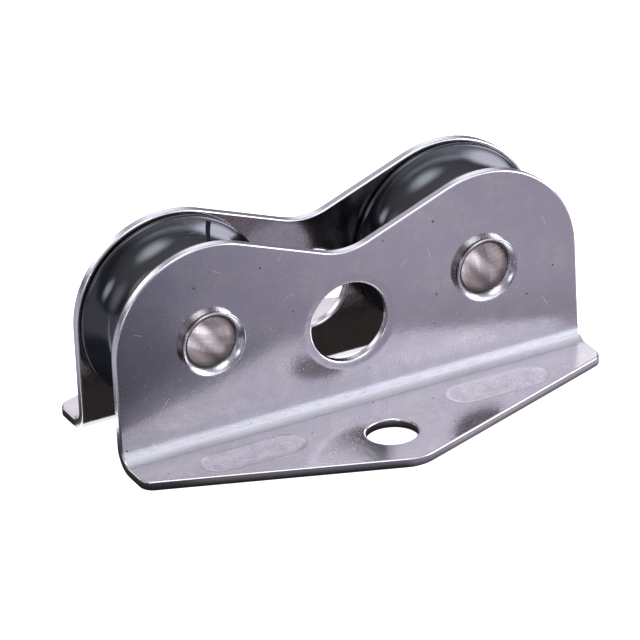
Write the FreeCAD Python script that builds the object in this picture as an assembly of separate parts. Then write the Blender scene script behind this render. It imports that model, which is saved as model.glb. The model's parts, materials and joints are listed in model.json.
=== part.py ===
import FreeCAD, Part
import math
import os

# Double through-deck block.
# Two bent sheet cheeks stand back to back on their flanges, joined by two hollow rivets.
# Each rivet carries a spacer bush, and a grooved sheave turns on the bush.
# Frame: +Z up from the deck, X along the block, Y across it; the near cheek is on the -Y side.
# The origin is in the middle of the block, on the deck. All sizes are in millimetres.

# Sheaves
sheave_d = 25.2             # over the rims
sheave_w = 9.5              # across the hub, which takes the side thrust
groove_depth = 3.1          # from the rim down to the bottom of the groove
rim_setback = 0.05          # each rim stands this far inside the hub's end face
lip_r = 0.4                 # full round of each rim
web_recess = 0.6            # depth of the ring-shaped recess in each side
recess_inner_d = 14.0       # the hub inside the recess
recess_outer_d = 21.0       # the rim outside the recess
recess_fillet = 0.4         # bottom corners of the recess

# Axles
rivet_bore_d = 6.5
rivet_wall = 0.6
flare_d = 8.6               # over the flared ends
flare_stand = 1.0           # how far a flared end stands out from the cheek
flare_sink = 0.3            # how deep in the cheek the flare starts to open
flare_depth = 1.05          # from the lip down to where the bore starts to open
flare_start = 20.0          # angle of the mouth from the axis where it leaves the bore
flare_lip_r = 0.14          # full round of the lip
bush_wall = 1.1

# Clearances
side_play = 0.15            # between each end of a hub and the cheek
rivet_clearance = 0.05      # radial, rivet in cheek and rivet in bush
running_clearance = 0.06    # radial, sheave on bush
deck_clearance = 1.8        # under the sheaves
rope_gap = 12.8             # between the two sheaves, where the lines go down through the deck

# Cheeks
sheet_t = 1.25
rim_cover = 0.4             # how far a lobe reaches past the sheave it guards
waist_drop = 5.7            # from the top of the lobes to the lowest point of the waist
waist_r = 8.5
bend_r = 1.8                # inside radius of the bend
flange_depth_middle = 18.4  # from the wall to the corner that the two slanted edges would make
flange_depth_end = 6.1      # from the wall to the slanted edge, at the ends of the block
flange_nose_r = 5.0         # round in the middle of the slanted edge
flange_corner_r = 2.0       # round at each end of the flange
middle_hole_d = 10.5
middle_hole_height = 11.9
mount_hole_d = 6.5
mount_hole_depth = 10.3     # from the wall to the hole's centre
edge_round = 0.25           # on the sheet's outline, both faces
hole_round = 0.3            # on the middle hole and the mounting hole

# Coined pads on top of the near flange
pad_l = 14.4
pad_w = 5.6
pad_sink = 0.08             # depth below the flange's top
pad_x = 17.0                # centre of each pad from the middle
pad_depth = 6.1             # centre of each pad from the wall
pad_slope = 0.24            # how far the pad's side wall leans in over its depth

# Sizes that follow
sheave_r = sheave_d / 2
cheek_gap = sheave_w + 2 * side_play
axle_height = sheave_r + deck_clearance
axle_x = (sheave_d + rope_gap) / 2
lobe_r = sheave_r + rim_cover
half_length = axle_x + lobe_r
top_z = axle_height + lobe_r
inner_y = cheek_gap / 2
outer_y = inner_y + sheet_t
rivet_bore_r = rivet_bore_d / 2
rivet_r = rivet_bore_r + rivet_wall
flare_r = flare_d / 2
axle_hole_r = rivet_r + rivet_clearance
bush_r = axle_hole_r + bush_wall
sheave_bore_r = bush_r + running_clearance

same = 0.001                # places nearer than this are one place
along = FreeCAD.Vector(1, 0, 0)
across = FreeCAD.Vector(0, 1, 0)
up = FreeCAD.Vector(0, 0, 1)


def front_view(x, z):
    """A point of an outline seen from the front."""
    return FreeCAD.Vector(x, 0, z)


def top_view(x, y):
    """A point of an outline seen from above."""
    return FreeCAD.Vector(x, y, 0)


def end_view(y, z):
    """A point of an outline seen from the end."""
    return FreeCAD.Vector(0, y, z)


def on_circle(centre, radius, degrees, point):
    """The point of a circle at an angle, in the plane that point() draws in."""
    a = math.radians(degrees)
    return point(centre[0] + radius * math.cos(a), centre[1] + radius * math.sin(a))


def line(a, b):
    return Part.LineSegment(a, b).toShape()


def arc(centre, radius, start, end, point):
    """Arc of a circle from one angle to another, in degrees."""
    a = on_circle(centre, radius, start, point)
    m = on_circle(centre, radius, (start + end) / 2, point)
    b = on_circle(centre, radius, end, point)
    return Part.Arc(a, m, b).toShape()


def face_of(edges):
    return Part.Face(Part.Wire(Part.sortEdges(edges)[0]))


def prism(edges, start, way):
    """The solid that a closed outline sweeps when it is moved to start and drawn along way."""
    face = face_of(edges)
    face.translate(start)
    return face.extrude(way)


def rod(radius, x, z, y_from, y_to):
    """A cylinder along Y."""
    return Part.makeCylinder(radius, y_to - y_from, FreeCAD.Vector(x, y_from, z), across)


def rounded_corner(before, corner, after, radius):
    """The three points of the arc that rounds a corner of an outline."""
    to_before = (before - corner).normalize()
    to_after = (after - corner).normalize()
    half = to_before.getAngle(to_after) / 2
    back = radius / math.tan(half)
    middle = (to_before + to_after).normalize()
    centre = corner + middle * (radius / math.sin(half))
    return corner + to_before * back, centre - middle * radius, corner + to_after * back


def wall_outline():
    """Front view of a cheek: straight ends, a round lobe over each axle, and a waist between.

    A straight edge touches each lobe's circle from above and the waist's circle from below."""
    waist_centre = (0.0, top_z - waist_drop + waist_r)
    lobe_centre = (axle_x, axle_height)
    run = waist_centre[0] - lobe_centre[0]
    rise = waist_centre[1] - lobe_centre[1]
    toward = math.degrees(math.atan2(rise, run))
    lean = math.degrees(math.acos((lobe_r + waist_r) / math.hypot(run, rise)))
    touch = toward - lean
    right = [
        line(front_view(half_length, 0), front_view(half_length, axle_height)),
        arc(lobe_centre, lobe_r, 0, touch, front_view),
        line(on_circle(lobe_centre, lobe_r, touch, front_view),
             on_circle(waist_centre, waist_r, touch + 180, front_view)),
    ]
    left = [e.mirror(FreeCAD.Vector(), along) for e in right]
    waist = arc(waist_centre, waist_r, touch + 180, 360 - touch, front_view)
    base = line(front_view(-half_length, 0), front_view(half_length, 0))
    return right + left + [waist, base]


def flange_outline():
    """Top view of a cheek: square ends, two slanted edges and a round nose between them."""
    back_y = inner_y / 2
    end_y = outer_y + flange_depth_end
    nose_y = outer_y + flange_depth_middle
    back_right = top_view(half_length, -back_y)
    end_right = top_view(half_length, -end_y)
    nose = top_view(0, -nose_y)
    end_left = top_view(-half_length, -end_y)
    back_left = top_view(-half_length, -back_y)
    right = rounded_corner(back_right, end_right, nose, flange_corner_r)
    middle = rounded_corner(end_right, nose, end_left, flange_nose_r)
    left = rounded_corner(nose, end_left, back_left, flange_corner_r)
    return [
        line(back_left, back_right),
        line(back_right, right[0]),
        Part.Arc(*right).toShape(),
        line(right[2], middle[0]),
        Part.Arc(*middle).toShape(),
        line(middle[2], left[0]),
        Part.Arc(*left).toShape(),
        line(left[2], back_left),
    ]


def bent_strip():
    """The sheet as bent, before its outline is cut: the section of wall, bend and flange, drawn along X."""
    centre = (-outer_y - bend_r, sheet_t + bend_r)
    far = -outer_y - flange_depth_middle
    section = [
        line(end_view(-inner_y, top_z), end_view(-inner_y, centre[1])),
        arc(centre, bend_r + sheet_t, 0, -90, end_view),
        line(end_view(centre[0], 0), end_view(far, 0)),
        line(end_view(far, 0), end_view(far, sheet_t)),
        line(end_view(far, sheet_t), end_view(centre[0], sheet_t)),
        arc(centre, bend_r, -90, 0, end_view),
        line(end_view(-outer_y, centre[1]), end_view(-outer_y, top_z)),
        line(end_view(-outer_y, top_z), end_view(-inner_y, top_z)),
    ]
    return prism(section, along * -half_length, along * (2 * half_length))


def round_outline(sheet):
    """Rounds every edge of the sheet's outline: each lies between a broad side and the cut edge."""
    edges = []
    for edge in sheet.Edges:
        beside = [is_broad_side(face) for face in sheet.ancestorsOfType(edge, Part.Face)]
        if beside.count(True) == 1:
            edges.append(edge)
    return sheet.makeFillet(edge_round, edges)


def is_broad_side(face):
    """True for both sides of the wall, of the flange and of the bend, and false for the cut edge."""
    if face.Surface.TypeId == "Part::GeomCylinder":
        return abs(face.Surface.Axis.dot(along)) > 0.5
    box = face.BoundBox
    on_wall = any(abs(v + y) < same for y in (inner_y, outer_y) for v in (box.YMin, box.YMax))
    on_flange = any(abs(v - z) < same for z in (0, sheet_t) for v in (box.ZMin, box.ZMax))
    return on_wall and box.YLength < same or on_flange and box.ZLength < same


def blank_cheek():
    """The near cheek with its outline cut and rounded, and its holes punched."""
    reach = outer_y + flange_depth_middle + sheet_t
    seen_from_front = prism(wall_outline(), across * -reach, across * reach)
    seen_from_above = prism(flange_outline(), FreeCAD.Vector(), up * top_z)
    cheek = round_outline(bent_strip().common(seen_from_front).common(seen_from_above).removeSplitter())
    for x in (-axle_x, axle_x):
        cheek = cheek.cut(rod(axle_hole_r, x, axle_height, -outer_y, -inner_y))
        cheek = cheek.cut(flare_seat(x))
    cheek = cheek.cut(punch(middle_hole_d / 2, FreeCAD.Vector(0, -outer_y, middle_hole_height), across))
    mount_y = -outer_y - mount_hole_depth
    return cheek.cut(punch(mount_hole_d / 2, FreeCAD.Vector(0, mount_y, 0), up))


def punch(radius, start, way):
    """A hole through the sheet along way, with a rounded edge at each face, made by one revolved profile."""
    r = radius
    e = hole_round
    t = sheet_t
    profile = [
        line(front_view(0, 0), front_view(r + e, 0)),
        arc((r + e, e), e, 270, 180, front_view),
        line(front_view(r, e), front_view(r, t - e)),
        arc((r + e, t - e), e, 180, 90, front_view),
        line(front_view(r + e, t), front_view(0, t)),
        line(front_view(0, t), front_view(0, 0)),
    ]
    tool = face_of(profile).revolve(FreeCAD.Vector(), up, 360)
    tool.Placement = FreeCAD.Placement(start, FreeCAD.Rotation(up, way))
    return tool


def flare_lean():
    """How far the flare's back leans from the axis, between the tube in the cheek and the lip's round."""
    run = flare_sink + flare_stand - flare_lip_r
    rise = flare_r - flare_lip_r - rivet_r
    return math.atan2(rise, run) + math.asin(flare_lip_r / math.hypot(run, rise))


def flare_seat(x):
    """The cone that flaring the rivet presses into the outer edge of its hole."""
    wide = axle_hole_r + flare_sink * math.tan(flare_lean())
    start = FreeCAD.Vector(x, -outer_y, axle_height)
    return Part.makeCone(wide, axle_hole_r, flare_sink, start, across)


def sheave(x):
    """Revolved section: hub, ring-shaped recess, full-round rims and one groove that runs into them."""
    rim_y = sheave_w / 2 - rim_setback
    web_y = rim_y - web_recess
    inner_r = recess_inner_d / 2
    outer_r = recess_outer_d / 2
    corner_y = web_y + recess_fillet
    lip = (rim_y - lip_r, sheave_r - lip_r)
    bottom = sheave_r - groove_depth
    # the groove's circle touches both rim rounds and the groove's bottom
    drop = lip[1] - bottom
    groove_r = (lip[0] ** 2 + drop ** 2 - lip_r ** 2) / (2 * (drop + lip_r))
    groove = (0.0, bottom + groove_r)
    to_lip = math.degrees(math.atan2(lip[1] - groove[1], lip[0]))
    half = [
        line(end_view(0, sheave_bore_r), end_view(sheave_w / 2, sheave_bore_r)),
        line(end_view(sheave_w / 2, sheave_bore_r), end_view(sheave_w / 2, inner_r)),
        line(end_view(sheave_w / 2, inner_r), end_view(corner_y, inner_r)),
        arc((corner_y, inner_r + recess_fillet), recess_fillet, 270, 180, end_view),
        line(end_view(web_y, inner_r + recess_fillet), end_view(web_y, outer_r - recess_fillet)),
        arc((corner_y, outer_r - recess_fillet), recess_fillet, 180, 90, end_view),
        line(end_view(corner_y, outer_r), end_view(rim_y, outer_r)),
        line(end_view(rim_y, outer_r), end_view(rim_y, lip[1])),
        arc(lip, lip_r, 0, to_lip + 180, end_view),
        arc(groove, groove_r, to_lip, -90, end_view),
    ]
    other = [e.mirror(FreeCAD.Vector(), across) for e in half]
    solid = face_of(half + other).revolve(FreeCAD.Vector(), across, 360)
    solid.translate(FreeCAD.Vector(x, 0, axle_height))
    return solid


def spacer_bush(x):
    outside = rod(bush_r, x, axle_height, -inner_y, inner_y)
    return outside.cut(rod(axle_hole_r, x, axle_height, -inner_y, inner_y))


def axle_rivet(x):
    """Revolved section of a tube whose ends are turned out over the cheeks like a trumpet's mouth.

    The mouth's circle leaves the bore at the angle flare_start and runs into the lip's round."""
    mouth = outer_y + flare_stand
    opening = mouth - flare_depth
    under = outer_y - flare_sink
    lip = (mouth - flare_lip_r, flare_r - flare_lip_r)
    run = lip[0] - opening
    rise = lip[1] - rivet_bore_r
    start = math.radians(flare_start)
    reach = rise * math.cos(start) - run * math.sin(start) - flare_lip_r
    bell_r = (run ** 2 + rise ** 2 - flare_lip_r ** 2) / (2 * reach)
    bell = (opening - bell_r * math.sin(start), rivet_bore_r + bell_r * math.cos(start))
    to_lip = math.degrees(math.atan2(lip[1] - bell[1], lip[0] - bell[0]))
    to_back = 90 + math.degrees(flare_lean())
    half = [
        line(end_view(0, rivet_r), end_view(under, rivet_r)),
        line(end_view(under, rivet_r), on_circle(lip, flare_lip_r, to_back, end_view)),
        arc(lip, flare_lip_r, to_back, to_lip, end_view),
        arc(bell, bell_r, to_lip, flare_start - 90, end_view),
        line(end_view(opening, rivet_bore_r), end_view(0, rivet_bore_r)),
    ]
    other = [e.mirror(FreeCAD.Vector(), across) for e in half]
    solid = face_of(half + other).revolve(FreeCAD.Vector(), across, 360)
    solid.translate(FreeCAD.Vector(x, 0, axle_height))
    return solid


def pad_cutter(x):
    """A long round-ended pad, pressed into the top of the near flange, with leaning side walls."""
    y = -outer_y - pad_depth
    rings = []
    for grow, z in ((-pad_slope, sheet_t - pad_sink), (pad_slope, sheet_t + pad_sink)):
        r = pad_w / 2 + grow
        s = pad_l / 2 - pad_w / 2
        ring = [
            line(top_view(x - s, y - r), top_view(x + s, y - r)),
            arc((x + s, y), r, -90, 90, top_view),
            line(top_view(x + s, y + r), top_view(x - s, y + r)),
            arc((x - s, y), r, 90, 270, top_view),
        ]
        wire = Part.Wire(ring)
        wire.translate(up * z)
        rings.append(wire)
    return Part.makeLoft(rings, True)


def front_cheek():
    cheek = blank_cheek()
    for x in (-pad_x, pad_x):
        cheek = cheek.cut(pad_cutter(x))
    return cheek


def back_cheek():
    cheek = blank_cheek()
    cheek.rotate(FreeCAD.Vector(), up, 180)
    return cheek


nodes = {"cheek_front": front_cheek(), "cheek_back": back_cheek()}
for side, x in (("left", -axle_x), ("right", axle_x)):
    nodes["sheave_" + side] = sheave(x)
    nodes["spacer_bush_" + side] = spacer_bush(x)
    nodes["axle_rivet_" + side] = axle_rivet(x)

os.makedirs("parts", exist_ok=True)
for name, shape in nodes.items():
    shape.exportStep("parts/" + name + ".step")
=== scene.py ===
import json
import math
from types import SimpleNamespace
import bpy
import numpy as np
from mathutils import Matrix, Vector
from mathutils.geometry import delaunay_2d_cdt


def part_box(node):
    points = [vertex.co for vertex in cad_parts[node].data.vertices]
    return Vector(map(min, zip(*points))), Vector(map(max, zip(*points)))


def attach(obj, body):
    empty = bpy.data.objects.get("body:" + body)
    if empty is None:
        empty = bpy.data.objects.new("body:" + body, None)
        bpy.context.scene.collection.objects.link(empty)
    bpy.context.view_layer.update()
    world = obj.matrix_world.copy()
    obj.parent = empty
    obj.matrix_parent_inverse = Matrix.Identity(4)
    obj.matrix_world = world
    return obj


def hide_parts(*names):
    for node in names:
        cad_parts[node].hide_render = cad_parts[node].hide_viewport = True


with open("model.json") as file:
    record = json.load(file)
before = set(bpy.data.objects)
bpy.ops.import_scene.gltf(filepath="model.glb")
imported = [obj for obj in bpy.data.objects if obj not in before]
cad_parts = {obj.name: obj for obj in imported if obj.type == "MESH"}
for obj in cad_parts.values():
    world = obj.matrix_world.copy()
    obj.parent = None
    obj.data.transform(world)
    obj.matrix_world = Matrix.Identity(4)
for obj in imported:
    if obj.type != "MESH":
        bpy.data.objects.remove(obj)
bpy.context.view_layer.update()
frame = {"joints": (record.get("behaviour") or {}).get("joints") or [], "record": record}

# The block's sizes, in metres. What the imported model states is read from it.
MM = 0.001
mounts = {m["name"]: m for m in frame["record"]["mounts"]}
axle = [abs(v) for v in frame["joints"][0]["pos_m"]]
axle_x, axle_height = axle[0], axle[2]
half_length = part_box("cheek_front")[1].x
top_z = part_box("cheek_front")[1].z
inner_y = -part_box("cheek_front")[1].y
lobe_r = half_length - axle_x
mount_hole_r = mounts["deck_holes"]["dims"]["hole_r_mm"] * MM
mount_hole_y = mounts["deck_holes"]["dims"]["spacing_y_mm"] * MM / 2
middle_hole_r = mounts["middle_hole"]["dims"]["r_mm"] * MM
middle_hole_z = mounts["middle_hole"]["pos_m"][2]
rivet_bore_r = mounts["axle_bore_left"]["dims"]["r_mm"] * MM

# The cheeks' sheet
sheet_t = 1.25 * MM
bend_r = 1.8 * MM
waist_drop = 5.7 * MM
waist_r = 8.5 * MM
flange_depth_middle = 18.4 * MM
flange_depth_end = 6.1 * MM
flange_nose_r = 5.0 * MM
flange_corner_r = 2.0 * MM
edge_round = 0.25 * MM
hole_round = 0.3 * MM
flange_splay = math.radians(3.3)    # how far the flange's normals lean, while it lies flat
outer_y = inner_y + sheet_t

# The two coined pads of the near flange
pad_l = 14.4 * MM
pad_w = 5.6 * MM
pad_sink = 0.08 * MM
pad_x = 17.0 * MM
pad_depth = 6.1 * MM
pad_slope = 0.9 * MM        # width of the soft step round a pad

# The sheaves
sheave_r = 12.6 * MM
sheave_half_w = 4.75 * MM
groove_depth = 3.1 * MM
rim_setback = 0.05 * MM
lip_r = 0.4 * MM
web_recess = 0.6 * MM
recess_inner_r = 7.0 * MM
recess_outer_r = 10.5 * MM
recess_fillet = 0.4 * MM
moulded_edge = 0.12 * MM    # small rounds on the sheave's other corners
dull_turn = math.radians(115.5)     # where a dull line runs across the left sheave's groove

# The rivets, the bushes round them and the bores that fit
rivet_r = rivet_bore_r + 0.6 * MM
flare_r = 4.3 * MM
flare_stand = 1.0 * MM
flare_sink = 0.3 * MM
flare_depth = 1.05 * MM
flare_start = math.radians(20)
flare_lip_r = 0.14 * MM
turned_edge = 0.05 * MM     # smallest rounds on the rivet and the bush
axle_hole_r = rivet_r + 0.05 * MM
bush_r = axle_hole_r + 1.1 * MM
sheave_bore_r = bush_r + 0.06 * MM

# Colours of the bare materials, and tints of the table's lit and shaded light and of the room's
STEEL = (0.61, 0.58, 0.575)
PLASTIC = (0.004, 0.005, 0.008)
TABLE_TINT = (0.99, 0.93, 1.19)
SHADOW_TINT = (0.96, 0.98, 1.30)
ROOM_TINT = (0.98, 0.97, 1.08)

# How finely the surfaces are divided
ARC_STEP = math.radians(5)
RIM_STEPS = 5               # points on a quarter round of a cut edge
COLUMNS = 180               # points round a turned piece
HOLE_POINTS = 48            # points round a small hole at least
GRID = 1.0 * MM             # spacing on the broad sides
EDGE_CLEARANCE = 0.3 * GRID     # how far the grid's points stay from every edge
RING_CLEARANCE = 0.12 * GRID    # and from the rings round the pads
BEND_ROWS = 15
PAD_RINGS = 8
WELD = 0.0005 * MM          # points that lie this near become one

# A square's corners, anticlockwise
SQUARE = ((-1, -1), (1, -1), (1, 1), (-1, 1))

# The flat pattern of a cheek: x along the block, s up the sheet, unrolled through the bend
bend_top = sheet_t + bend_r
bend_length = (bend_r + sheet_t / 2) * math.pi / 2
bend_foot = bend_top - bend_length
bend_y = outer_y + bend_r


def pattern_s(depth):
    """The height in the flat pattern of a place on the flange, by its distance from the wall."""
    return bend_foot - (depth - bend_r)


def rounded_loop(corners, spacing=None):
    """A closed outline from its corners (u, v, radius), walked anticlockwise.

    The walk turns from one side's direction to the next on an arc that touches both sides, and the outward
    normal is always a quarter turn to the right of the walk. With a spacing, straight sides are divided."""
    corners = np.array(corners, float)
    places, radii = corners[:, :2], corners[:, 2]
    ahead = np.roll(places, -1, axis=0) - places
    ahead /= np.linalg.norm(ahead, axis=1)[:, None]
    before = np.roll(ahead, 1, axis=0)
    points, normals = [], []
    for place, radius, way_in, way_out in zip(places, radii, before, ahead):
        start = math.atan2(way_in[1], way_in[0])
        cross = way_in[0] * way_out[1] - way_in[1] * way_out[0]
        turn = math.atan2(cross, way_in @ way_out)
        steps = max(2, math.ceil(abs(turn) / ARC_STEP))
        angle = start + turn * np.linspace(0, 1, steps + 1)
        normal = np.stack([np.sin(angle), -np.cos(angle)], 1)
        side = math.copysign(1, turn)
        middle = way_out - way_in
        middle /= np.linalg.norm(middle)
        centre = place + middle * radius / math.cos(turn / 2)
        points.append(centre + side * radius * normal)
        normals.append(normal)
    if spacing:
        points, normals = divide_sides(points, normals, spacing)
    return np.concatenate(points), np.concatenate(normals)


def divide_sides(points, normals, spacing):
    """Adds evenly spaced points to the straight side that follows each arc."""
    longer, turned = [], []
    for i, (run, face) in enumerate(zip(points, normals)):
        end = points[(i + 1) % len(points)][0]
        length = np.linalg.norm(end - run[-1])
        parts = max(1, round(length / spacing))
        share = np.arange(1, parts)[:, None] / parts
        longer.append(np.concatenate([run, run[-1] + (end - run[-1]) * share]))
        turned.append(np.concatenate([face, np.repeat(face[-1:], parts - 1, axis=0)]))
    return longer, turned


def circle(u, v, radius, spacing):
    """A round hole's edge, walked clockwise, so that its outward normals point into the hole."""
    count = max(HOLE_POINTS, round(2 * math.pi * radius / spacing))
    angle = -2 * math.pi * np.arange(count) / count
    out = np.stack([np.cos(angle), np.sin(angle)], 1)
    return np.array([u, v]) + radius * out, -out


def cheek_outline():
    """The flat pattern's outline: nose, ends, lobes and waist are six rounded corners.

    Each upper side touches a lobe's circle from above and the waist's circle from below."""
    waist_centre = top_z - waist_drop + waist_r
    rise = waist_centre - axle_height
    to_waist = math.atan2(rise, -axle_x)
    touch = to_waist - math.acos((lobe_r + waist_r) / math.hypot(rise, axle_x))
    lobe_corner = axle_height + lobe_r * (1 - math.cos(touch)) / math.sin(touch)
    waist_corner = axle_height + (lobe_r + axle_x * math.cos(touch)) / math.sin(touch)
    corners = [
        (0, pattern_s(flange_depth_middle), flange_nose_r),
        (half_length, pattern_s(flange_depth_end), flange_corner_r),
        (half_length, lobe_corner, lobe_r),
        (0, waist_corner, waist_r),
        (-half_length, lobe_corner, lobe_r),
        (-half_length, pattern_s(flange_depth_end), flange_corner_r),
    ]
    return rounded_loop(corners, GRID / 2)


def fold(x, s, depth):
    """Bends the flat pattern: places of the sheet and the three directions there.

    depth runs from the near side of the wall through the sheet. Above the bend the pattern stands upright,
    in the bend it turns about one line through a quarter circle, and past the bend it lies flat. The
    directions turn by flange_splay less, so that the flat flange mirrors what a drooping one would."""
    turn = np.clip((bend_top - s) / bend_length, 0, 1) * math.pi / 2
    above = np.maximum(s - bend_top, 0)
    past = np.maximum(bend_foot - s, 0)
    r = bend_r + depth
    y = -bend_y + r * np.cos(turn) - past
    z = bend_top - r * np.sin(turn) + above
    zero = np.zeros_like(turn)
    turn = turn * (1 - flange_splay / (math.pi / 2))
    up_sheet = np.stack([zero, np.sin(turn), np.cos(turn)], -1)
    through = np.stack([zero, np.cos(turn), -np.sin(turn)], -1)
    along = np.stack([zero + 1, zero, zero], -1)
    return np.stack([x + zero, y, z], -1), along, up_sheet, through


def rim_section(r):
    """The section of a cut edge, from the far side to the near one: (out, depth) and normals.

    A quarter round of radius r, the straight cut, and another quarter round."""
    a = np.linspace(0, math.pi / 2, RIM_STEPS)
    near = np.stack([r * np.sin(a) - r, r - r * np.cos(a)], 1)
    far = np.stack([r * np.cos(a) - r, sheet_t - r + r * np.sin(a)], 1)
    near_n = np.stack([np.sin(a), -np.cos(a)], 1)
    far_n = np.stack([np.cos(a), np.sin(a)], 1)
    return np.concatenate([near, far])[::-1], np.concatenate([near_n, far_n])[::-1]


def seat_section():
    """The section of an axle hole, from the far side to the near one: a cone seats the rivet's flare."""
    round_places, round_normals = rim_section(turned_edge)
    lean = flare_lean()
    cone = [(0, flare_sink), (-flare_sink * math.tan(lean), 0)]
    cone_normal = (math.cos(lean), -math.sin(lean))
    return (np.concatenate([round_places[:RIM_STEPS], cone]),
            np.concatenate([round_normals[:RIM_STEPS], [cone_normal, cone_normal]]))


def add_rim(surface, loop, section):
    """Carries the section of a cut edge along a loop of the flat pattern, and folds it."""
    points, outward = loop
    places, normals = section
    plan = points[None] + places[:, None, :1] * outward[None]
    depth = np.repeat(places[:, 1:], len(points), axis=1)
    at, along, up_sheet, through = fold(plan[..., 0], plan[..., 1], depth)
    flat = normals[:, None, :1] * outward[None]
    normal = flat[..., :1] * along + flat[..., 1:] * up_sheet + normals[:, None, 1:] * through
    surface.add_grid(at, normal, closed_rows=False, material=1)


def inside(points, loop):
    """True for points inside a closed loop: a ray to the right crosses its sides an odd number of times."""
    a = loop[None]
    b = np.roll(loop, -1, axis=0)[None]
    p = points[:, None]
    spans = (a[..., 1] > p[..., 1]) != (b[..., 1] > p[..., 1])
    rise = np.where(spans, b[..., 1] - a[..., 1], 1)
    crossing = a[..., 0] + (p[..., 1] - a[..., 1]) * (b[..., 0] - a[..., 0]) / rise
    return (spans & (p[..., 0] < crossing)).sum(1) % 2 == 1


def nearest(points, others):
    """How far each point is from the nearest of the others."""
    return np.linalg.norm(points[:, None] - others[None], axis=2).min(1)


def pattern_grid(loops):
    """Points inside the sheet on a square grid, closer together through the bend, clear of every edge."""
    xs = np.arange(-half_length, half_length, GRID) + GRID / 2
    wall = np.arange(bend_top, top_z, GRID)
    bend = np.linspace(bend_foot, bend_top, BEND_ROWS)[:-1]
    flange = np.arange(bend_foot, pattern_s(flange_depth_middle), -GRID)[1:]
    s = np.concatenate([wall, bend, flange])
    grid = np.stack(np.meshgrid(xs, s), -1).reshape(-1, 2)
    keep = inside(grid, loops[0])
    for hole in loops[1:]:
        keep &= ~inside(grid, hole)
    return grid[keep & (nearest(grid, np.concatenate(loops)) > EDGE_CLEARANCE)]


def pad_height(x, s):
    """How deep the coined pads are pressed, and the step's slope along x and s.

    The distance to a pad's middle line, less its half width, falls from 0 to minus the step's width, and the
    depth follows it as a smooth step."""
    v = s - pattern_s(pad_depth)
    half_run = (pad_l - pad_w) / 2
    depth = np.zeros_like(x)
    slope = np.zeros(x.shape + (2,))
    for centre in (-pad_x, pad_x):
        u = x - centre
        u = u - np.clip(u, -half_run, half_run)
        r = np.maximum(np.hypot(u, v), 1e-9)
        t = np.clip((pad_w / 2 - r) / pad_slope, 0, 1)
        depth += pad_sink * t * t * (3 - 2 * t)
        steep = pad_sink * 6 * t * (1 - t) / pad_slope
        slope -= steep[..., None] * np.stack([u / r, v / r], -1)
    return depth, slope


def pad_points():
    """Rings of points over the soft step round each pad."""
    rings = []
    half_run = (pad_l - pad_w) / 2
    s = pattern_s(pad_depth)
    for centre in (-pad_x, pad_x):
        for share in np.linspace(0, 1, PAD_RINGS):
            r = pad_w / 2 - share * pad_slope
            corners = [(centre + i * (half_run + r), s + j * r, r) for i, j in SQUARE]
            rings.append(rounded_loop(corners, GRID / 3)[0])
    return np.concatenate(rings)


def add_broad_side(surface, loops, depth, pads):
    """One broad side of the sheet, at a depth of 0 or of its thickness.

    The flat pattern between its loops is cut into triangles over the loops' points, the pads' rings and a
    grid, the pads' soft step is pressed in, and all is folded to shape."""
    grid = pattern_grid(loops)
    rings = []
    if pads:
        rings = [pad_points()]
        grid = grid[nearest(grid, rings[0]) > RING_CLEARANCE]
    plan = np.concatenate(loops + rings + [grid])
    sides, start = [], 0
    for loop in loops:
        ring = np.arange(len(loop))
        sides.append(np.stack([ring, np.roll(ring, -1)], 1) + start)
        start += len(loop)
    edges = np.concatenate(sides).tolist()
    fill_hull, tolerance = 0, 1e-7
    found = delaunay_2d_cdt([Vector(p) for p in (plan / MM).tolist()], edges, [], fill_hull, tolerance)
    plan = np.array([tuple(v) for v in found[0]]) * MM
    triangles = np.array(found[2])
    middle = plan[triangles].mean(1)
    keep = inside(middle, loops[0])
    for hole in loops[1:]:
        keep &= ~inside(middle, hole)
    x, s = plan[:, 0], plan[:, 1]
    sunk, slope = pad_height(x, s) if pads else (np.zeros_like(x), np.zeros(x.shape + (2,)))
    at, along, up_sheet, through = fold(x, s, depth + sunk)
    face = -1 if depth == 0 else 1
    normal = face * through + slope[:, :1] * along + slope[:, 1:] * up_sheet
    order = triangles[keep] if depth == 0 else triangles[keep][:, ::-1]
    surface.add(at, normal, order, material=0)


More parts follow.
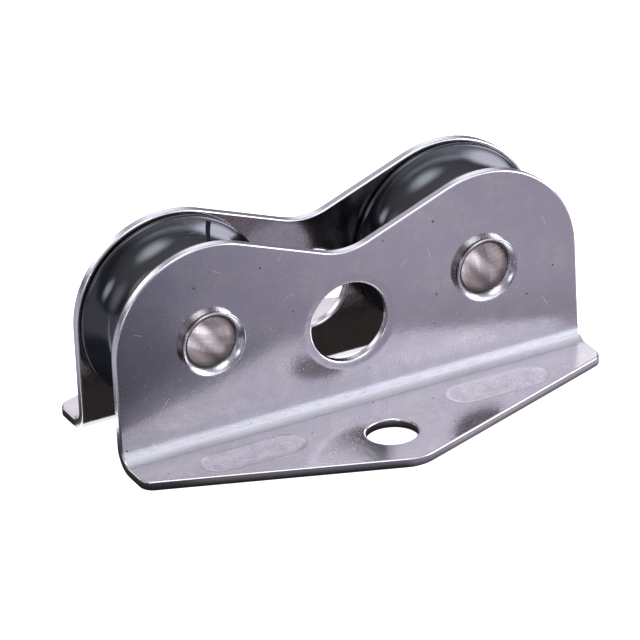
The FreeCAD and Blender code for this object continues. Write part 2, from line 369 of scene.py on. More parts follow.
class Surface:
    """Collects parts of one closed surface, with the exact normal at each point, and makes it one mesh."""

    def __init__(self):
        self.points, self.normals, self.faces, self.kinds = [], [], [], []
        self.count = 0

    def add(self, points, normals, faces, material):
        """Adds points with their normals, and faces of one material by the numbers of these points."""
        self.points.append(points.reshape(-1, 3))
        self.normals.append(normals.reshape(-1, 3))
        self.faces += (np.asarray(faces) + self.count).tolist()
        self.kinds += [material] * len(faces)
        self.count += len(self.points[-1])

    def add_grid(self, points, normals, closed_rows, material):
        """Quads between the rows and columns of a grid of points, each row a closed ring."""
        rows, columns = points.shape[:2]
        number = np.arange(rows * columns).reshape(rows, columns)
        if closed_rows:
            number = np.concatenate([number, number[:1]])
        number = np.concatenate([number, number[:, :1]], axis=1)
        quads = [number[:-1, :-1], number[:-1, 1:], number[1:, 1:], number[1:, :-1]]
        self.add(points, normals, np.stack(quads, -1).reshape(-1, 4), material)

    def build(self, name, materials):
        """Joins points that lie together, and keeps each face corner's own normal."""
        points = np.concatenate(self.points)
        normals = np.concatenate(self.normals)
        cell = np.round(points / WELD).astype(np.int64)
        _, first, same = np.unique(cell, axis=0, return_index=True, return_inverse=True)
        same = same.ravel().tolist()
        faces, kinds, corners = [], [], []
        for face, kind in zip(self.faces, self.kinds):
            ring = {}
            for corner in face:
                ring.setdefault(same[corner], corner)
            if len(ring) > 2:
                faces.append(list(ring))
                kinds.append(kind)
                corners += ring.values()
        facing = normals[corners]
        facing /= np.maximum(np.linalg.norm(facing, axis=1), 1e-12)[:, None]
        mesh = bpy.data.meshes.new(name)
        mesh.from_pydata(points[first].tolist(), [], faces)
        mesh.polygons.foreach_set("material_index", kinds)
        mesh.polygons.foreach_set("use_smooth", [True] * len(faces))
        for material in materials:
            mesh.materials.append(material)
        mesh.update()
        mesh.normals_split_custom_set(facing.tolist())
        piece = bpy.data.objects.new(name, mesh)
        bpy.context.scene.collection.objects.link(piece)
        return piece


def cheek(name, materials, far):
    """A bent cheek: two broad sides and the cut edges of its outline and its four holes.

    The near one has the coined pads. The far one is turned half round the upright axis."""
    surface = Surface()
    mount_s = bend_foot - (mount_hole_y - bend_y)
    hole_edge = rim_section(hole_round)
    rims = [
        (cheek_outline(), rim_section(edge_round)),
        (circle(0, mount_s, mount_hole_r, GRID / 2), hole_edge),
        (circle(0, middle_hole_z, middle_hole_r, GRID / 2), hole_edge),
        (circle(-axle_x, axle_height, axle_hole_r, GRID / 2), seat_section()),
        (circle(axle_x, axle_height, axle_hole_r, GRID / 2), seat_section()),
    ]
    for loop, section in rims:
        add_rim(surface, loop, section)
    front = [points + section[0][-1, 0] * outward for (points, outward), section in rims]
    back = [points + section[0][0, 0] * outward for (points, outward), section in rims]
    add_broad_side(surface, front, 0, not far)
    add_broad_side(surface, back, sheet_t, False)
    if far:
        half_turn = np.array([-1, -1, 1])
        surface.points = [p * half_turn for p in surface.points]
        surface.normals = [n * half_turn for n in surface.normals]
    return surface.build(name, materials)


def turned_piece(name, corners, x, materials):
    """A turned piece on an axle: the section (along the axle, radius) carried round the axle's line."""
    points, normals = rounded_loop(corners)
    angle = 2 * math.pi * np.arange(COLUMNS) / COLUMNS
    out = np.stack([np.cos(angle), np.zeros(COLUMNS), np.sin(angle)], 1)
    axis = np.array([0, 1, 0])
    at = points[:, None, :1] * axis + points[:, None, 1:] * out
    normal = normals[:, None, :1] * axis + normals[:, None, 1:] * out
    surface = Surface()
    centre = np.array([x, 0, axle_height])
    surface.add_grid(at + centre, normal, closed_rows=True, material=0)
    return surface.build(name, materials)


def corner_of_arc(centre, radius, start, end):
    """Where the two sides that an arc joins would meet: on the arc's middle line, past the arc."""
    half = (end - start) / 2
    reach = radius / math.cos(half)
    return centre[0] + reach * math.cos(start + half), centre[1] + reach * math.sin(start + half), radius


def flare_lean():
    """How far the flare's back leans from the axis, between the tube in the cheek and the lip's round."""
    run = flare_sink + flare_stand - flare_lip_r
    rise = flare_r - flare_lip_r - rivet_r
    return math.atan2(rise, run) + math.asin(flare_lip_r / math.hypot(run, rise))


def sheave_section():
    """Bore, hub, recessed web and rim, and a round groove between full-round lips.

    The groove is one arc through its deepest point, with its middle in the plane of symmetry, that touches
    the rounds of both lips."""
    rim = sheave_half_w - rim_setback
    web = rim - web_recess
    lip = (rim - lip_r, sheave_r - lip_r)
    bottom = sheave_r - groove_depth
    drop = lip[1] - bottom
    groove_r = (lip[0] ** 2 + drop ** 2 - lip_r ** 2) / (2 * (drop + lip_r))
    groove_centre = bottom + groove_r
    to_lip = np.array([lip[0], lip[1] - groove_centre])
    to_lip /= np.linalg.norm(to_lip)
    lip_corner = groove_centre + (groove_r - to_lip[0] * rim) / to_lip[1]
    groove_corner = groove_centre + groove_r / to_lip[1]
    return [
        (-sheave_half_w, sheave_bore_r, moulded_edge),
        (sheave_half_w, sheave_bore_r, moulded_edge),
        (sheave_half_w, recess_inner_r, moulded_edge),
        (web, recess_inner_r, recess_fillet),
        (web, recess_outer_r, recess_fillet),
        (rim, recess_outer_r, moulded_edge),
        (rim, lip_corner, lip_r),
        (0, groove_corner, groove_r),
        (-rim, lip_corner, lip_r),
        (-rim, recess_outer_r, moulded_edge),
        (-web, recess_outer_r, recess_fillet),
        (-web, recess_inner_r, recess_fillet),
        (-sheave_half_w, recess_inner_r, moulded_edge),
    ]


def rivet_section():
    """A tube whose ends are turned out over the cheeks, with a trumpet-shaped mouth at each.

    The trumpet is an arc that leaves the bore at flare_start and touches the lip's full round from inside.
    Behind the lip a cone leans back to the tube where it goes into the cheek."""
    mouth = outer_y + flare_stand
    opening = mouth - flare_depth
    under = outer_y - flare_sink
    bore_round = 0.3 * MM
    lip = (mouth - flare_lip_r, flare_r - flare_lip_r)
    run = lip[0] - opening
    rise = lip[1] - rivet_bore_r
    reach = rise * math.cos(flare_start) - run * math.sin(flare_start) - flare_lip_r
    bell_r = (run ** 2 + rise ** 2 - flare_lip_r ** 2) / (2 * reach)
    bell = (opening - bell_r * math.sin(flare_start), rivet_bore_r + bell_r * math.cos(flare_start))
    to_lip = math.atan2(lip[1] - bell[1], lip[0] - bell[0])
    bell_corner = corner_of_arc(bell, bell_r, flare_start - math.pi / 2, to_lip)
    lip_corner = corner_of_arc(lip, flare_lip_r, to_lip, math.pi / 2 + flare_lean())
    half = [(opening, rivet_bore_r, bore_round), bell_corner, lip_corner, (under, rivet_r, turned_edge)]
    other = [(-along, radius, arc) for along, radius, arc in half[::-1]]
    return half + other


def bush_section():
    """A plain sleeve, clamped between the cheeks."""
    return [
        (-inner_y, axle_hole_r, turned_edge),
        (inner_y, axle_hole_r, turned_edge),
        (inner_y, bush_r, turned_edge),
        (-inner_y, bush_r, turned_edge),
    ]


class Patterns:
    """The nodes of one tree, written as formulas: each method adds nodes and gives their output."""

    def __init__(self, tree):
        self.tree = tree

    def connect(self, socket, value):
        """Feeds a socket with another node's output, or sets its plain value."""
        if isinstance(value, bpy.types.NodeSocket):
            self.tree.links.new(value, socket)
        else:
            socket.default_value = value

    def node(self, kind, inputs, output=0, **settings):
        """Adds a node with its settings and inputs, and gives one of its outputs."""
        made = self.tree.nodes.new(kind)
        for name, value in settings.items():
            setattr(made, name, value)
        for key, value in inputs.items():
            self.connect(made.inputs[key], value)
        return made.outputs[output]

    def calc(self, operation, *values):
        """One step of arithmetic on plain numbers or outputs."""
        return self.node("ShaderNodeMath", dict(enumerate(values)), operation=operation)

    def total(self, first, *others):
        """All values added up."""
        for other in others:
            first = self.calc("ADD", first, other)
        return first

    def product(self, first, *others):
        """All values multiplied."""
        for other in others:
            first = self.calc("MULTIPLY", first, other)
        return first

    def weighted(self, *pairs):
        """The sum of patterns, each times its weight."""
        return self.total(*[self.product(pattern, weight) for pattern, weight in pairs])

    def apart(self, a, b):
        """How far two values are from each other."""
        return self.calc("ABSOLUTE", self.calc("SUBTRACT", a, b))

    def length(self, a, b):
        """The root of the sum of two squares."""
        return self.calc("SQRT", self.total(self.product(a, a), self.product(b, b)))

    def below(self, value, limit):
        """1 where the value is under the limit, and else 0."""
        return self.calc("LESS_THAN", value, limit)

    def distance(self, place, point):
        """How far a place is from a fixed point."""
        return self.node("ShaderNodeVectorMath", {0: place, 1: point}, output=1, operation="DISTANCE")

    def split(self, vector):
        """The three parts of a vector or of a colour."""
        made = self.tree.nodes.new("ShaderNodeSeparateXYZ")
        self.tree.links.new(vector, made.inputs[0])
        return made.outputs

    def join(self, x, y, z):
        """A vector from its three parts."""
        return self.node("ShaderNodeCombineXYZ", {"X": x, "Y": y, "Z": z})

    def fade(self, value, at_zero, at_one):
        """A smooth step from 0 to 1 as the value goes from at_zero to at_one."""
        inputs = {"Value": value, "From Min": at_zero, "From Max": at_one}
        return self.node("ShaderNodeMapRange", inputs, interpolation_type="SMOOTHSTEP")

    def band(self, value, middle, gone, full):
        """1 where the value is within full of a middle, and 0 where it is further than gone."""
        return self.fade(self.apart(value, middle), gone, full)

    def plateau(self, value, start, full_from, full_to, end):
        """Rises from 0 at start to 1 at full_from, and falls from 1 at full_to to 0 at end."""
        return self.product(self.fade(value, start, full_from), self.fade(value, end, full_to))

    def noise(self, place, size, detail=1.0):
        """Soft noise from 0 to 1 whose lumps are about as large as size."""
        return self.node("ShaderNodeTexNoise", {"Vector": place, "Scale": 1 / size, "Detail": detail})

    def blend(self, share, low, high):
        """A colour between two, by share."""
        low, high = [(*c, 1) if isinstance(c, tuple) else c for c in (low, high)]
        return self.node("ShaderNodeMix", {0: share, 6: low, 7: high}, output=2, data_type="RGBA")

    def coats(self, base, *layers):
        """Lays colours over a base, one after the other: each is (mask, strength, colour)."""
        for mask, strength, color in layers:
            share = mask if strength == 1 else self.product(mask, strength)
            base = self.blend(share, base, color)
        return base

    def ramp(self, value, stops):
        """A colour that runs through stops of (place from 0 to 1, colour)."""
        made = self.tree.nodes.new("ShaderNodeValToRGB")
        elements = made.color_ramp.elements
        for _ in stops[2:]:
            elements.new(0.5)
        for element, (spot, color) in zip(elements, stops):
            element.position = spot
            element.color = (*color, 1)
        self.tree.links.new(value, made.inputs["Fac"])
        return made.outputs["Color"]

    def cells(self, place, size, plane):
        """A net of random cells: the distance to the nearest middle, its random colour, and its place."""
        made = self.tree.nodes.new("ShaderNodeTexVoronoi")
        made.voronoi_dimensions = "2D" if plane else "3D"
        made.inputs["Scale"].default_value = 1 / size
        self.tree.links.new(place, made.inputs["Vector"])
        return made.outputs["Distance"], self.split(made.outputs["Color"]), made.outputs["Position"]

    def dots(self, place, size, share, radius, plane=True):
        """Round spots, one in a share of the cells, of up to the given radius."""
        distance, random, _ = self.cells(place, size, plane)
        near = self.calc("SUBTRACT", distance, self.product(random[1], radius / size))
        spot = self.fade(near, 0.0, -0.5 * radius / size)
        return self.product(spot, self.below(random[0], share))

    def ticks(self, place, size, share, length, width):
        """Short straight scratches, one in a share of the cells of a flat net, each at its own angle."""
        _, random, middle = self.cells(place, size, True)
        offset = self.node("ShaderNodeVectorMath", {0: place, 1: middle}, operation="SUBTRACT")
        inputs = {"Vector": offset, "Angle": self.product(random[0], math.pi)}
        turned = self.node("ShaderNodeVectorRotate", inputs, rotation_type="Z_AXIS")
        along, across, _ = self.split(turned)
        line = self.fade(self.calc("ABSOLUTE", across), width / 2, 0.0)
        run = self.fade(self.calc("ABSOLUTE", along), length / 2, length / 4)
        return self.product(line, run, self.below(random[1], share))


class Finish(Patterns):
    """A material: plain values of its shader, and patterns of the object's coordinates that replace some."""

    def __init__(self, name, color, metallic, roughness):
        self.material = bpy.data.materials.new(name)
        self.material.use_nodes = True
        super().__init__(self.material.node_tree)
        self.shader = self.tree.nodes["Principled BSDF"]
        self.set("Base Color", (*color, 1))
        self.set("Metallic", metallic)
        self.set("Roughness", roughness)
        self.place = self.tree.nodes.new("ShaderNodeTexCoord").outputs["Object"]

    def set(self, name, value):
        """Sets a value of the shader, or feeds it with a pattern."""
        self.connect(self.shader.inputs[name], value)

    def raise_by(self, *heights):
        """Bump from patterns, each with its height in metres."""
        inputs = {"Height": self.weighted(*heights), "Distance": 1.0, "Strength": 1.0}
        self.set("Normal", self.node("ShaderNodeBump", inputs))

    def unrolled(self):
        """The place on a cheek's flat pattern: along the block, and up the sheet through the bend.

        Each cheek's pattern is moved a block's length to its own side, so that they don't repeat."""
        x, y, z = self.split(self.place)
        shift = self.product(self.calc("SIGN", y), 2 * half_length)
        up = self.calc("SUBTRACT", z, self.calc("ABSOLUTE", y))
        return self.join(self.total(x, shift), up, 0.0)

    def around_axle(self):
        """The distance from the nearest axle's line, the turn about it, and the place along it."""
        x, y, z = self.split(self.place)
        out = self.calc("SUBTRACT", self.calc("ABSOLUTE", x), axle_x)
        up = self.calc("SUBTRACT", z, axle_height)
        return self.length(out, up), self.calc("ARCTAN2", up, out), y


def sheet_masks(f):
    """Where a cheek is what, each a mask from 0 to 1.

    inner and outer are its two sides, and lower is the bend with the lowest part of the wall. lift, crease
    and foot are three lines of painted highlight along the bend, from its top to where it runs out, and
    beside is the strip of the flange next to it, where shade is painted. pad is the coined pads and pad_rim
    the painted shade round their step. drawn is the rim of the middle hole, which the punch drew in."""
    x, y, z = f.split(f.place)
    aside = f.calc("ABSOLUTE", y)
    inner = f.fade(aside, outer_y - 0.3 * sheet_t, outer_y - 0.7 * sheet_t)
    outer = f.fade(inner, 1.0, 0.0)
    bend = f.product(f.fade(z, bend_top + 1.0 * MM, bend_top - 0.8 * MM),
                     f.fade(aside, bend_y + 0.8 * MM, bend_y - 0.2 * MM), outer)
    lower = f.product(f.fade(z, bend_top + 3.2 * MM, bend_top - 0.2 * MM), outer, f.below(aside, bend_y))
    lift = f.plateau(z, bend_top - 1.1 * MM, bend_top - 0.6 * MM, bend_top - 0.2 * MM, bend_top + 0.6 * MM)
    crease = f.band(aside, bend_y - 1.2 * MM, 0.16 * MM, 0.04 * MM)
    foot = f.plateau(aside, bend_y - 1.3 * MM, bend_y - 0.6 * MM, bend_y - 0.2 * MM, bend_y + 0.2 * MM)
    beside = f.plateau(aside, bend_y - 0.1 * MM, bend_y + 0.5 * MM, bend_y + 1.4 * MM, bend_y + 3.6 * MM)
    past_line = f.calc("SUBTRACT", f.apart(f.calc("ABSOLUTE", x), pad_x), (pad_l - pad_w) / 2)
    from_pad = f.length(f.calc("MAXIMUM", past_line, 0.0), f.calc("SUBTRACT", aside, outer_y + pad_depth))
    near_flange = f.below(y, -bend_y)
    pad = f.product(f.fade(from_pad, pad_w / 2, pad_w / 2 - 0.5 * MM), near_flange)
    pad_rim = f.product(f.band(from_pad, pad_w / 2 - 0.1 * MM, 0.28 * MM, 0.05 * MM), near_flange)
    from_middle = f.length(x, f.calc("SUBTRACT", z, middle_hole_z))
    drawn = f.product(f.fade(f.calc("SUBTRACT", from_middle, middle_hole_r), 1.3 * MM, 0.0), outer)
    return SimpleNamespace(inner=inner, outer=outer, bend=bend, lower=lower, pad=pad, pad_rim=pad_rim,
                           lift=f.product(lift, lower), crease=f.product(crease, bend),
                           foot=f.product(foot, bend), beside=f.product(beside, outer), drawn=drawn)


def sheet_patterns(f, at):
    """What tumbling leaves on the sheet: soft noises, and spots, pits and scratches on its outer side;
    besides, a fine grit noise that places painted glints and dark painted flecks.
    """
    sheet = f.unrolled()
    grain = f.noise(sheet, 0.24 * MM, 2.0)
    mottle = f.noise(sheet, 1.4 * MM, 3.0)
    specks = f.dots(sheet, 0.6 * MM, share=0.3, radius=0.12 * MM)
    pits = f.dots(sheet, 3.3 * MM, share=0.3, radius=0.24 * MM)
    marks = f.ticks(sheet, 5.5 * MM, share=0.35, length=1.8 * MM, width=0.12 * MM)
    return SimpleNamespace(
        grain=grain,
        waves=f.noise(sheet, 7 * MM),
        peel=f.noise(sheet, 0.7 * MM, 2.0),
        stain=f.fade(f.noise(sheet, 5 * MM, 3.0), 0.35, 0.65),
        # fine grit noise that places painted glints on the lowest wall and dark painted flecks in the bend
        glint_grit=f.fade(f.noise(sheet, 0.18 * MM), 0.42, 0.60),
        uneven=f.fade(f.weighted((grain, 0.6), (mottle, 0.4)), 0.35, 0.65),
        specks=f.product(specks, at.outer),
        pits=f.product(pits, at.outer),
        marks=f.product(marks, at.outer))


def rolled_stainless():
    """Tumbled sheet: a soft waviness, a fine grain that frays reflections, specks, pits and short scratches.

    The bend is stretched and grainier, and its colour is painted darker with dark flecks as shade, with
    lines of painted highlight along it, painted glints on the lowest part of the wall and painted shade on
    the flange beside it. The coined pads are a little paler, with painted shade round their step. The inner
    faces, which the tumbling stones don't reach, are duller, and their darker, browner colour is painted
    shade and warm bounced light between the cheeks."""
    f = Finish("rolled_stainless", STEEL, 1.0, 0.16)
    at = sheet_masks(f)
    on = sheet_patterns(f, at)
    # Each coat: where it lies, how strongly it covers, and its colour
    f.set("Base Color", f.coats(
        f.blend(on.stain, (0.565, 0.54, 0.57), (0.655, 0.605, 0.59)),
        (at.pad, 0.9, (0.80, 0.74, 0.73)),
        # painted shade round the pads' step
        (at.pad_rim, 0.6, (0.40, 0.39, 0.42)),
        # inner faces: darker, browner colour painted as shade and warm bounced light between the cheeks
        (at.inner, 0.9, (0.42, 0.375, 0.36)),
        # the bend painted darker as shade, then painted glints on the lowest wall and dark painted flecks in
        # the bend
        (at.bend, 0.95, (0.385, 0.38, 0.365)),
        (f.product(at.lower, on.glint_grit), 0.75, (0.86, 0.84, 0.86)),
        (f.product(at.bend, on.glint_grit), 0.8, (0.25, 0.245, 0.24)),
        # painted highlight lines along the bend, then painted shade on the flange beside it
        (at.foot, 1, (0.60, 0.59, 0.615)),
        (at.lift, 0.4, (0.88, 0.88, 0.86)),
        (at.crease, 0.5, (0.64, 0.63, 0.65)),
        (at.beside, 0.6, (0.45, 0.45, 0.465)),
        (on.uneven, 1, (0.55, 0.525, 0.53)),
        (on.marks, 0.8, (0.95, 0.93, 0.95)),
        (on.specks, 0.15, (0.80, 0.78, 0.80)),
        (on.pits, 0.75, (0.10, 0.09, 0.09))))
    f.set("Roughness", f.total(f.weighted(
        (on.grain, 0.10), (on.marks, 0.3), (on.specks, 0.18), (at.lower, 0.24), (at.inner, 0.02)), 0.09))
    rough_grain = f.product(on.grain, f.total(f.weighted((at.bend, 2.5), (at.inner, -0.7)), 1.0))
    f.raise_by((on.waves, 0.07 * MM), (on.peel, 0.009 * MM), (rough_grain, 0.011 * MM),
               (on.specks, 0.004 * MM), (on.pits, -0.012 * MM), (at.drawn, -0.10 * MM))
    return f.material


def cut_edge():
    """The blanked edge, rumbled until it gleams: paler on the wall as a painted highlight, and painted dark
    where it nears the table as contact shade.
    """
    f = Finish("rumbled_cut_edge", STEEL, 1.0, 0.24)
    x, y, z = f.split(f.place)
    grain = f.noise(f.place, 0.25 * MM, 2.0)
    tears = f.noise(f.join(x, f.product(y, 0.25), z), 0.35 * MM, 2.0)
    # on_wall: painted highlight on the edge up the wall
    on_wall = f.fade(z, bend_top, bend_top + 4 * MM)
    # strength and foot: painted contact shade at the edge's foot, stronger to the right
    strength = f.calc("MULTIPLY_ADD", f.fade(x, 0.0, 12 * MM), 0.2, 0.7)
    foot = f.product(f.fade(z, 0.85 * MM, 0.3 * MM), strength)
    f.set("Base Color", f.coats(
        STEEL,
        (on_wall, 1, (0.75, 0.73, 0.75)),
        (grain, 0.4, tuple(0.7 * c for c in STEEL)),
        (foot, 1, (0.17, 0.16, 0.16))))
    f.raise_by((grain, 0.008 * MM), (tears, 0.012 * MM))
    return f.material


def turned_steel():
    """The hollow rivet: drawn aslant in the bore, whose warm colour, lighter in broad sectors, paints the
    light that bounces inside it; painted shade at the bore's ends and behind the flare; and bright with
    turning marks in its mouth."""
    f = Finish("turned_steel", STEEL, 1.0, 0.14)
    radius, turn, along = f.around_axle()
    aside = f.calc("ABSOLUTE", along)
    wide = f.product(turn, rivet_bore_r)
    in_bore = f.fade(radius, rivet_bore_r + 0.12 * MM, rivet_bore_r + 0.02 * MM)
    # bore_end: painted shade in the bore near its ends
    bore_end = f.product(in_bore, f.fade(aside, outer_y - 1.9 * MM, outer_y - 0.4 * MM))
    past_cheek = f.calc("SUBTRACT", aside, outer_y)
    flare_middle = f.calc("MULTIPLY_ADD", past_cheek, 0.68, rivet_bore_r + 0.33 * MM)
    # behind: the cone behind the flare, where shade is painted
    behind = f.fade(f.calc("SUBTRACT", radius, flare_middle), 0.02 * MM, 0.10 * MM)
    aslant = f.calc("MULTIPLY_ADD", along, 0.7, wide)
    drawn = f.noise(f.join(aslant, f.product(along, 0.04), 0.0), 0.3 * MM, 3.0)
    aslant = f.calc("MULTIPLY_ADD", along, -0.5, wide)
    sectors = f.noise(f.join(aslant, f.product(along, 0.2), 0.0), 2.2 * MM, 2.0)
    rings = f.noise(f.join(radius, along, f.product(wide, 0.02)), 0.09 * MM, 2.0)
    grain = f.noise(f.place, 0.25 * MM, 2.0)
    worked = f.fade(f.weighted((grain, 0.5), (rings, 0.5)), 0.38, 0.62)
    # the bore's warm colour, lighter in broad sectors, paints the light bouncing inside it
    warm = f.coats(
        f.blend(f.fade(sectors, 0.44, 0.56), (0.58, 0.52, 0.51), (0.90, 0.85, 0.84)),
        (f.fade(drawn, 0.4, 0.65), 0.5, (0.55, 0.49, 0.47)),
        (bore_end, 0.8, (0.24, 0.21, 0.20)))
    mouth = f.blend(worked, (0.66, 0.64, 0.65), (0.44, 0.42, 0.43))
    back = f.blend(worked, (0.44, 0.405, 0.40), (0.29, 0.27, 0.265))
    f.set("Base Color", f.coats(mouth, (behind, 1, back), (in_bore, 1, warm)))
    f.set("Roughness", f.total(f.weighted((in_bore, 0.14), (grain, 0.1)), 0.17))
    f.raise_by((f.product(rings, f.fade(in_bore, 1.0, 0.0)), 0.005 * MM),
               (f.product(drawn, in_bore), 0.01 * MM), (grain, 0.004 * MM))
    return f.material


def black_plastic():
    """Glossy black moulding with faint lines round it, scuffs that follow them and dust nibs, and one dull
    line across the left sheave's groove."""
    f = Finish("black_moulding", PLASTIC, 0.0, 0.13)
    radius, turn, along = f.around_axle()
    wide = f.product(turn, sheave_r)
    lines = f.noise(f.join(radius, along, f.product(wide, 0.02)), 0.3 * MM, 2.0)
    scuffs = f.noise(f.join(radius, along, f.product(wide, 0.08)), 0.14 * MM)
    worn = f.fade(f.noise(f.place, 6 * MM), 0.5, 0.68)
    scored = f.product(f.fade(scuffs, 0.58, 0.68), worn)
    nibs = f.dots(f.place, 2.2 * MM, share=0.3, radius=0.12 * MM, plane=False)
    bloom = f.noise(f.place, 3 * MM, 2.0)
    x = f.split(f.place)[0]
    dull_line = f.product(f.band(turn, dull_turn, math.radians(2.1), math.radians(1.4)), f.below(x, 0.0),
                          f.fade(radius, sheave_r - 0.35 * MM, sheave_r - 0.55 * MM))
    f.set("Base Color", f.coats(PLASTIC, (scored, 0.35, (0.06, 0.057, 0.075))))
    f.set("Roughness", f.total(f.weighted((bloom, 0.08), (scored, 0.12), (dull_line, 0.6)), 0.09))
    f.set("Specular IOR Level", f.calc("MULTIPLY_ADD", dull_line, -0.7, 0.85))
    f.raise_by((lines, 0.006 * MM), (scored, -0.004 * MM), (nibs, 0.01 * MM), (bloom, 0.02 * MM))
    return f.material


def toward(azimuth, elevation):
    """The direction to a place in the room: azimuth 0 is in front of the block, 90 past its right end."""
    a, e = math.radians(azimuth), math.radians(elevation)
    return Vector((math.sin(a) * math.cos(e), -math.cos(a) * math.cos(e), math.sin(e)))


def add_camera():
    """The photograph's view: a long lens from the left front, above the block, a little rolled."""
    azimuth, elevation, roll = -25.726, 26.784, math.radians(-3.004)
    distance = 0.815237
    target = Vector((-0.001127, 0, 0.009888))
    focal_pixels, photo_pixels = 6548.405, 640
    back = toward(azimuth, elevation)
    turn = math.radians(azimuth)
    right = Vector((math.cos(turn), math.sin(turn), 0))
    up = back.cross(right)
    side = math.cos(roll) * right + math.sin(roll) * up
    head = -math.sin(roll) * right + math.cos(roll) * up
    data = bpy.data.cameras.new("camera")
    data.sensor_width = 36
    data.lens = focal_pixels / photo_pixels * data.sensor_width
    data.clip_start = 0.01
    camera = bpy.data.objects.new("camera", data)
    facing = Matrix((side, head, back)).transposed().to_4x4()
    camera.matrix_world = Matrix.Translation(target + distance * back) @ facing
    bpy.context.scene.collection.objects.link(camera)
    bpy.context.scene.camera = camera


def sheet_of_set(name, corners, material):
    """One flat piece of the set, with its own map from 0 to 1 both ways."""
    mesh = bpy.data.meshes.new(name)
    mesh.from_pydata([tuple(c) for c in corners], [], [(0, 1, 2, 3)])
    mesh.materials.append(material)
    mesh.uv_layers.new(name="sheet").data.foreach_set("uv", [0, 0, 1, 0, 1, 1, 0, 1])
    piece = bpy.data.objects.new(name, mesh)
    bpy.context.scene.collection.objects.link(piece)
    return piece


def level_sheet(name, half_width, z, material):
    """A level square sheet of the set, with its middle over the origin."""
    corners = [(half_width * i, half_width * j, z) for i, j in SQUARE]
    return sheet_of_set(name, corners, material)


def only_in_reflections(piece):
    """Hides a piece of the set from all but what the block mirrors."""
    piece.visible_camera = False
    piece.visible_diffuse = False
    piece.visible_shadow = False


def add_floor():
    """A pale sheet that glows, as a light table does."""
    f = Finish("pale_floor", (0.9, 0.9, 0.9), 0.0, 0.8)
    f.set("Emission Color", (1, 1, 1, 1))
    f.set("Emission Strength", 0.9)
    f.set("Specular IOR Level", 0)
    level_sheet("floor", 4, 0, f.material).visible_glossy = False


def table_glow(f, x):
    """The open table's glow along the block: dim and bluer at the left, where the block's shadow is painted,
    brighter and warmer at the right.
    """
    reach = 60
    tint_from, tint_run = -10, 30
    levels = [(-60, 0.07), (-28, 0.07), (-19, 0.13), (-10, 0.195), (3, 0.34), (10, 0.41), (17, 0.47),
              (30, 0.53), (60, 0.48)]
    stops = []
    for spot, level in levels:
        share = min(max((spot - tint_from) / tint_run, 0), 1)
        tint = [a + (b - a) * share for a, b in zip(SHADOW_TINT, TABLE_TINT)]
        stops.append(((spot + reach) / (2 * reach), tuple(level * c for c in tint)))
    limits = {"Value": x, "From Min": -reach * MM, "From Max": reach * MM}
    return f.ramp(f.node("ShaderNodeMapRange", limits), stops)


def past_outline(f, x, y, shift_x, shift_y):
    """How far a place on the table lies past the block's outline, moved by a shift.

    It is measured across the block from the slanting edges, and along it past the ends."""
    slant = (flange_depth_middle - flange_depth_end) / half_length
    nose = outer_y + flange_depth_middle
    u = f.apart(x, shift_x)
    v = f.apart(y, shift_y)
    leaning = f.calc("SUBTRACT", f.calc("MULTIPLY_ADD", u, slant, v), nose)
    return f.calc("MAXIMUM", leaning, f.calc("SUBTRACT", u, half_length))


def add_table_card():
    """What the steel mirrors of the table, on a sheet just below it, with the block's light and shadow
    painted on the table.

    Over the table's glow lie a lighter part beside the block at the left and one past that end, a dimmer
    one beside it at the right, a patch in front, and a painted pool of light along the right front edge.
    Under the block and a little to its left the table is painted black as the block's shadow, but for a dim
    round spot of painted light below the near mounting hole and a bright strip of painted light below the
    far bend."""
    f = Finish("table_card", (0, 0, 0), 0.0, 1.0)
    f.set("Specular IOR Level", 0)
    card_z = -0.5 * MM
    x, y, _ = f.split(f.place)
    past = past_outline(f, x, y, 0, 0)
    past_shadow = past_outline(f, x, y, -2.4 * MM, -0.6 * MM)
    left = f.product(f.fade(past, 12 * MM, 0.0), f.plateau(x, -30 * MM, -24 * MM, -12 * MM, -4 * MM))
    from_end = f.distance(f.place, (-34 * MM, -4 * MM, card_z))
    beyond = f.product(f.fade(from_end, 13 * MM, 27 * MM), f.fade(x, -34 * MM, -42 * MM))
    right = f.product(f.fade(past, 20 * MM, 6 * MM), f.fade(x, 10 * MM, 22 * MM))
    patch = f.fade(f.distance(f.place, (-2.5 * MM, -38 * MM, card_z)), 10 * MM, 2 * MM)
    # lit: a painted pool of light along the right front edge
    lit = f.product(f.fade(past, 1.9 * MM, 1.2 * MM), f.fade(x, 2 * MM, 10 * MM), f.below(y, 0.0))
    # below_hole and spot: painted light that comes through the near mounting hole
    below_hole = (1.0 * MM, -mount_hole_y - 2.2 * MM, card_z)
    spot = f.fade(f.distance(f.place, below_hole), mount_hole_r + 0.6 * MM, mount_hole_r - 0.8 * MM)
    # under: the block's shadow, painted black
    under = f.fade(past_shadow, 1.4 * MM, -0.4 * MM)
    # below_bend: painted light under the far bend
    below_bend = f.band(y, bend_y - 0.9 * MM, 2.1 * MM, 1.7 * MM)
    f.set("Emission Strength", 1)
    f.set("Emission Color", f.coats(
        table_glow(f, x),
        (left, 1, (0.30, 0.30, 0.37)),
        (beyond, 1, (0.50, 0.51, 0.61)),
        (right, 1, (0.41, 0.38, 0.48)),
        (patch, 0.65, (0.42, 0.40, 0.51)),
        (lit, 1, (0.72, 0.70, 0.80)),
        (under, 1, (0.045, 0.040, 0.040)),
        (spot, 1, (0.25, 0.24, 0.29)),
        (below_bend, 1, (1.8, 1.8, 1.9))))
    only_in_reflections(level_sheet("table_card", 0.4, card_z, f.material))


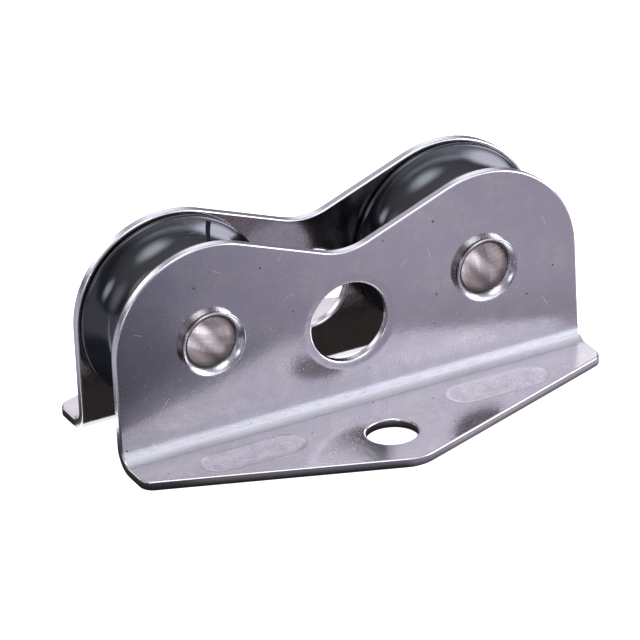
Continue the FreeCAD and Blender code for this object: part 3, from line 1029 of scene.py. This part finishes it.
def add_front_glow():
    """A diffuser near the block, up in front to the right, that adds its light to what lies behind it.

    The flange mirrors it: brighter to the right, at the bottom and in a strip near the top, a little smoky,
    and gone towards its edges."""
    f = Finish("front_glow", (0, 0, 0), 0.0, 1.0)
    u, v, _ = f.split(f.tree.nodes.new("ShaderNodeTexCoord").outputs["UV"])
    mask = f.product(f.plateau(u, 0.0, 0.3, 0.7, 1.0), f.plateau(v, 0.0, 0.3, 0.7, 1.0))
    x, _, z = f.split(f.place)
    level = f.total(f.weighted(
        (f.fade(x, 42 * MM, 82 * MM), 0.28),
        (f.fade(x, 60 * MM, 125 * MM), 0.32),
        (f.noise(f.place, 35 * MM), 0.4),
        (f.fade(z, 100 * MM, 72 * MM), 0.36),
        (f.fade(z, 119 * MM, 129 * MM), 0.9)), 0.24)
    tint = (0.945, 0.985, 1.22, 1)
    emission = f.node("ShaderNodeEmission", {"Color": tint, "Strength": f.product(level, mask)})
    clear = f.node("ShaderNodeBsdfTransparent", {})
    both = f.node("ShaderNodeAddShader", {0: emission, 1: clear})
    f.connect(f.tree.nodes["Material Output"].inputs["Surface"], both)
    distance, half_width, half_height = 0.2, 0.14, 0.11
    view = toward(25.7, 26.8)
    side = Vector((0, 0, 1)).cross(view).normalized()
    head = view.cross(side)
    corners = [distance * view + half_width * i * side + half_height * j * head for i, j in SQUARE]
    only_in_reflections(sheet_of_set("front_glow", corners, f.material))


def add_world():
    """The room, dark at the horizon and paler above, with soft lamps: one overhead, one at each side in
    front, one at the left and two behind."""
    world = bpy.data.worlds.new("studio")
    world.use_nodes = True
    bpy.context.scene.world = world
    f = Patterns(world.node_tree)
    ray = f.tree.nodes.new("ShaderNodeTexCoord").outputs["Generated"]
    levels = [(0, 0.13), (13, 0.14), (25, 0.36), (37, 0.46), (49, 0.55), (61, 0.62), (90, 0.62)]
    stops = [(angle / 90, tuple(level * c for c in ROOM_TINT)) for angle, level in levels]
    light = f.ramp(f.product(f.calc("ARCSINE", f.split(ray)[2]), 2 / math.pi), stops)
    # Each lamp: azimuth and elevation, how far from its middle it is full and ends, its level and tint
    lamps = [
        (-17, 74, 4, 28, 3.9, (0.88, 1.0, 1.08)),
        (64, 15, 11, 27, 5.8, (0.96, 0.96, 1.16)),
        (-50, 14, 3, 13, 3.8, (0.90, 0.96, 1.20)),
        (-92, 18, 5, 26, 0.9, (0.96, 0.97, 1.12)),
        (154, 29, 8, 24, 1.0, (0.98, 0.97, 1.08)),
        (-154, 24, 8, 22, 1.5, (1.0, 0.97, 1.04)),
    ]
    for azimuth, elevation, full, end, level, tint in lamps:
        aim = {0: ray, 1: tuple(toward(azimuth, elevation))}
        near = f.node("ShaderNodeVectorMath", aim, output=1, operation="DOT_PRODUCT")
        share = f.fade(f.calc("ARCCOSINE", near), math.radians(end), math.radians(full))
        added = {0: share, 1: tuple(level * c for c in tint), 2: light}
        light = f.node("ShaderNodeVectorMath", added, operation="MULTIPLY_ADD")
    f.connect(f.tree.nodes["Background"].inputs["Color"], light)


def tie(piece, body, node):
    """The piece rides on a body and stands for the CAD node, which is hidden."""
    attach(piece, body)
    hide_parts(node)


add_camera()
add_floor()
add_table_card()
add_front_glow()
add_world()
bpy.context.scene.view_settings.view_transform = "Standard"

sheet_finish = [rolled_stainless(), cut_edge()]
rivet_finish = [turned_steel()]
plastic = [black_plastic()]
near_cheek = cheek("near_cheek", sheet_finish, far=False)
tie(near_cheek, "frame", "cheek_front")
far_cheek = cheek("far_cheek", sheet_finish, far=True)
tie(far_cheek, "frame", "cheek_back")
for side, x in (("left", -axle_x), ("right", axle_x)):
    sheave = turned_piece(side + "_sheave", sheave_section(), x, plastic)
    tie(sheave, "sheave_" + side, "sheave_" + side)
    rivet = turned_piece(side + "_rivet", rivet_section(), x, rivet_finish)
    tie(rivet, "frame", "axle_rivet_" + side)
    bush = turned_piece(side + "_bush", bush_section(), x, rivet_finish)
    tie(bush, "frame", "spacer_bush_" + side)
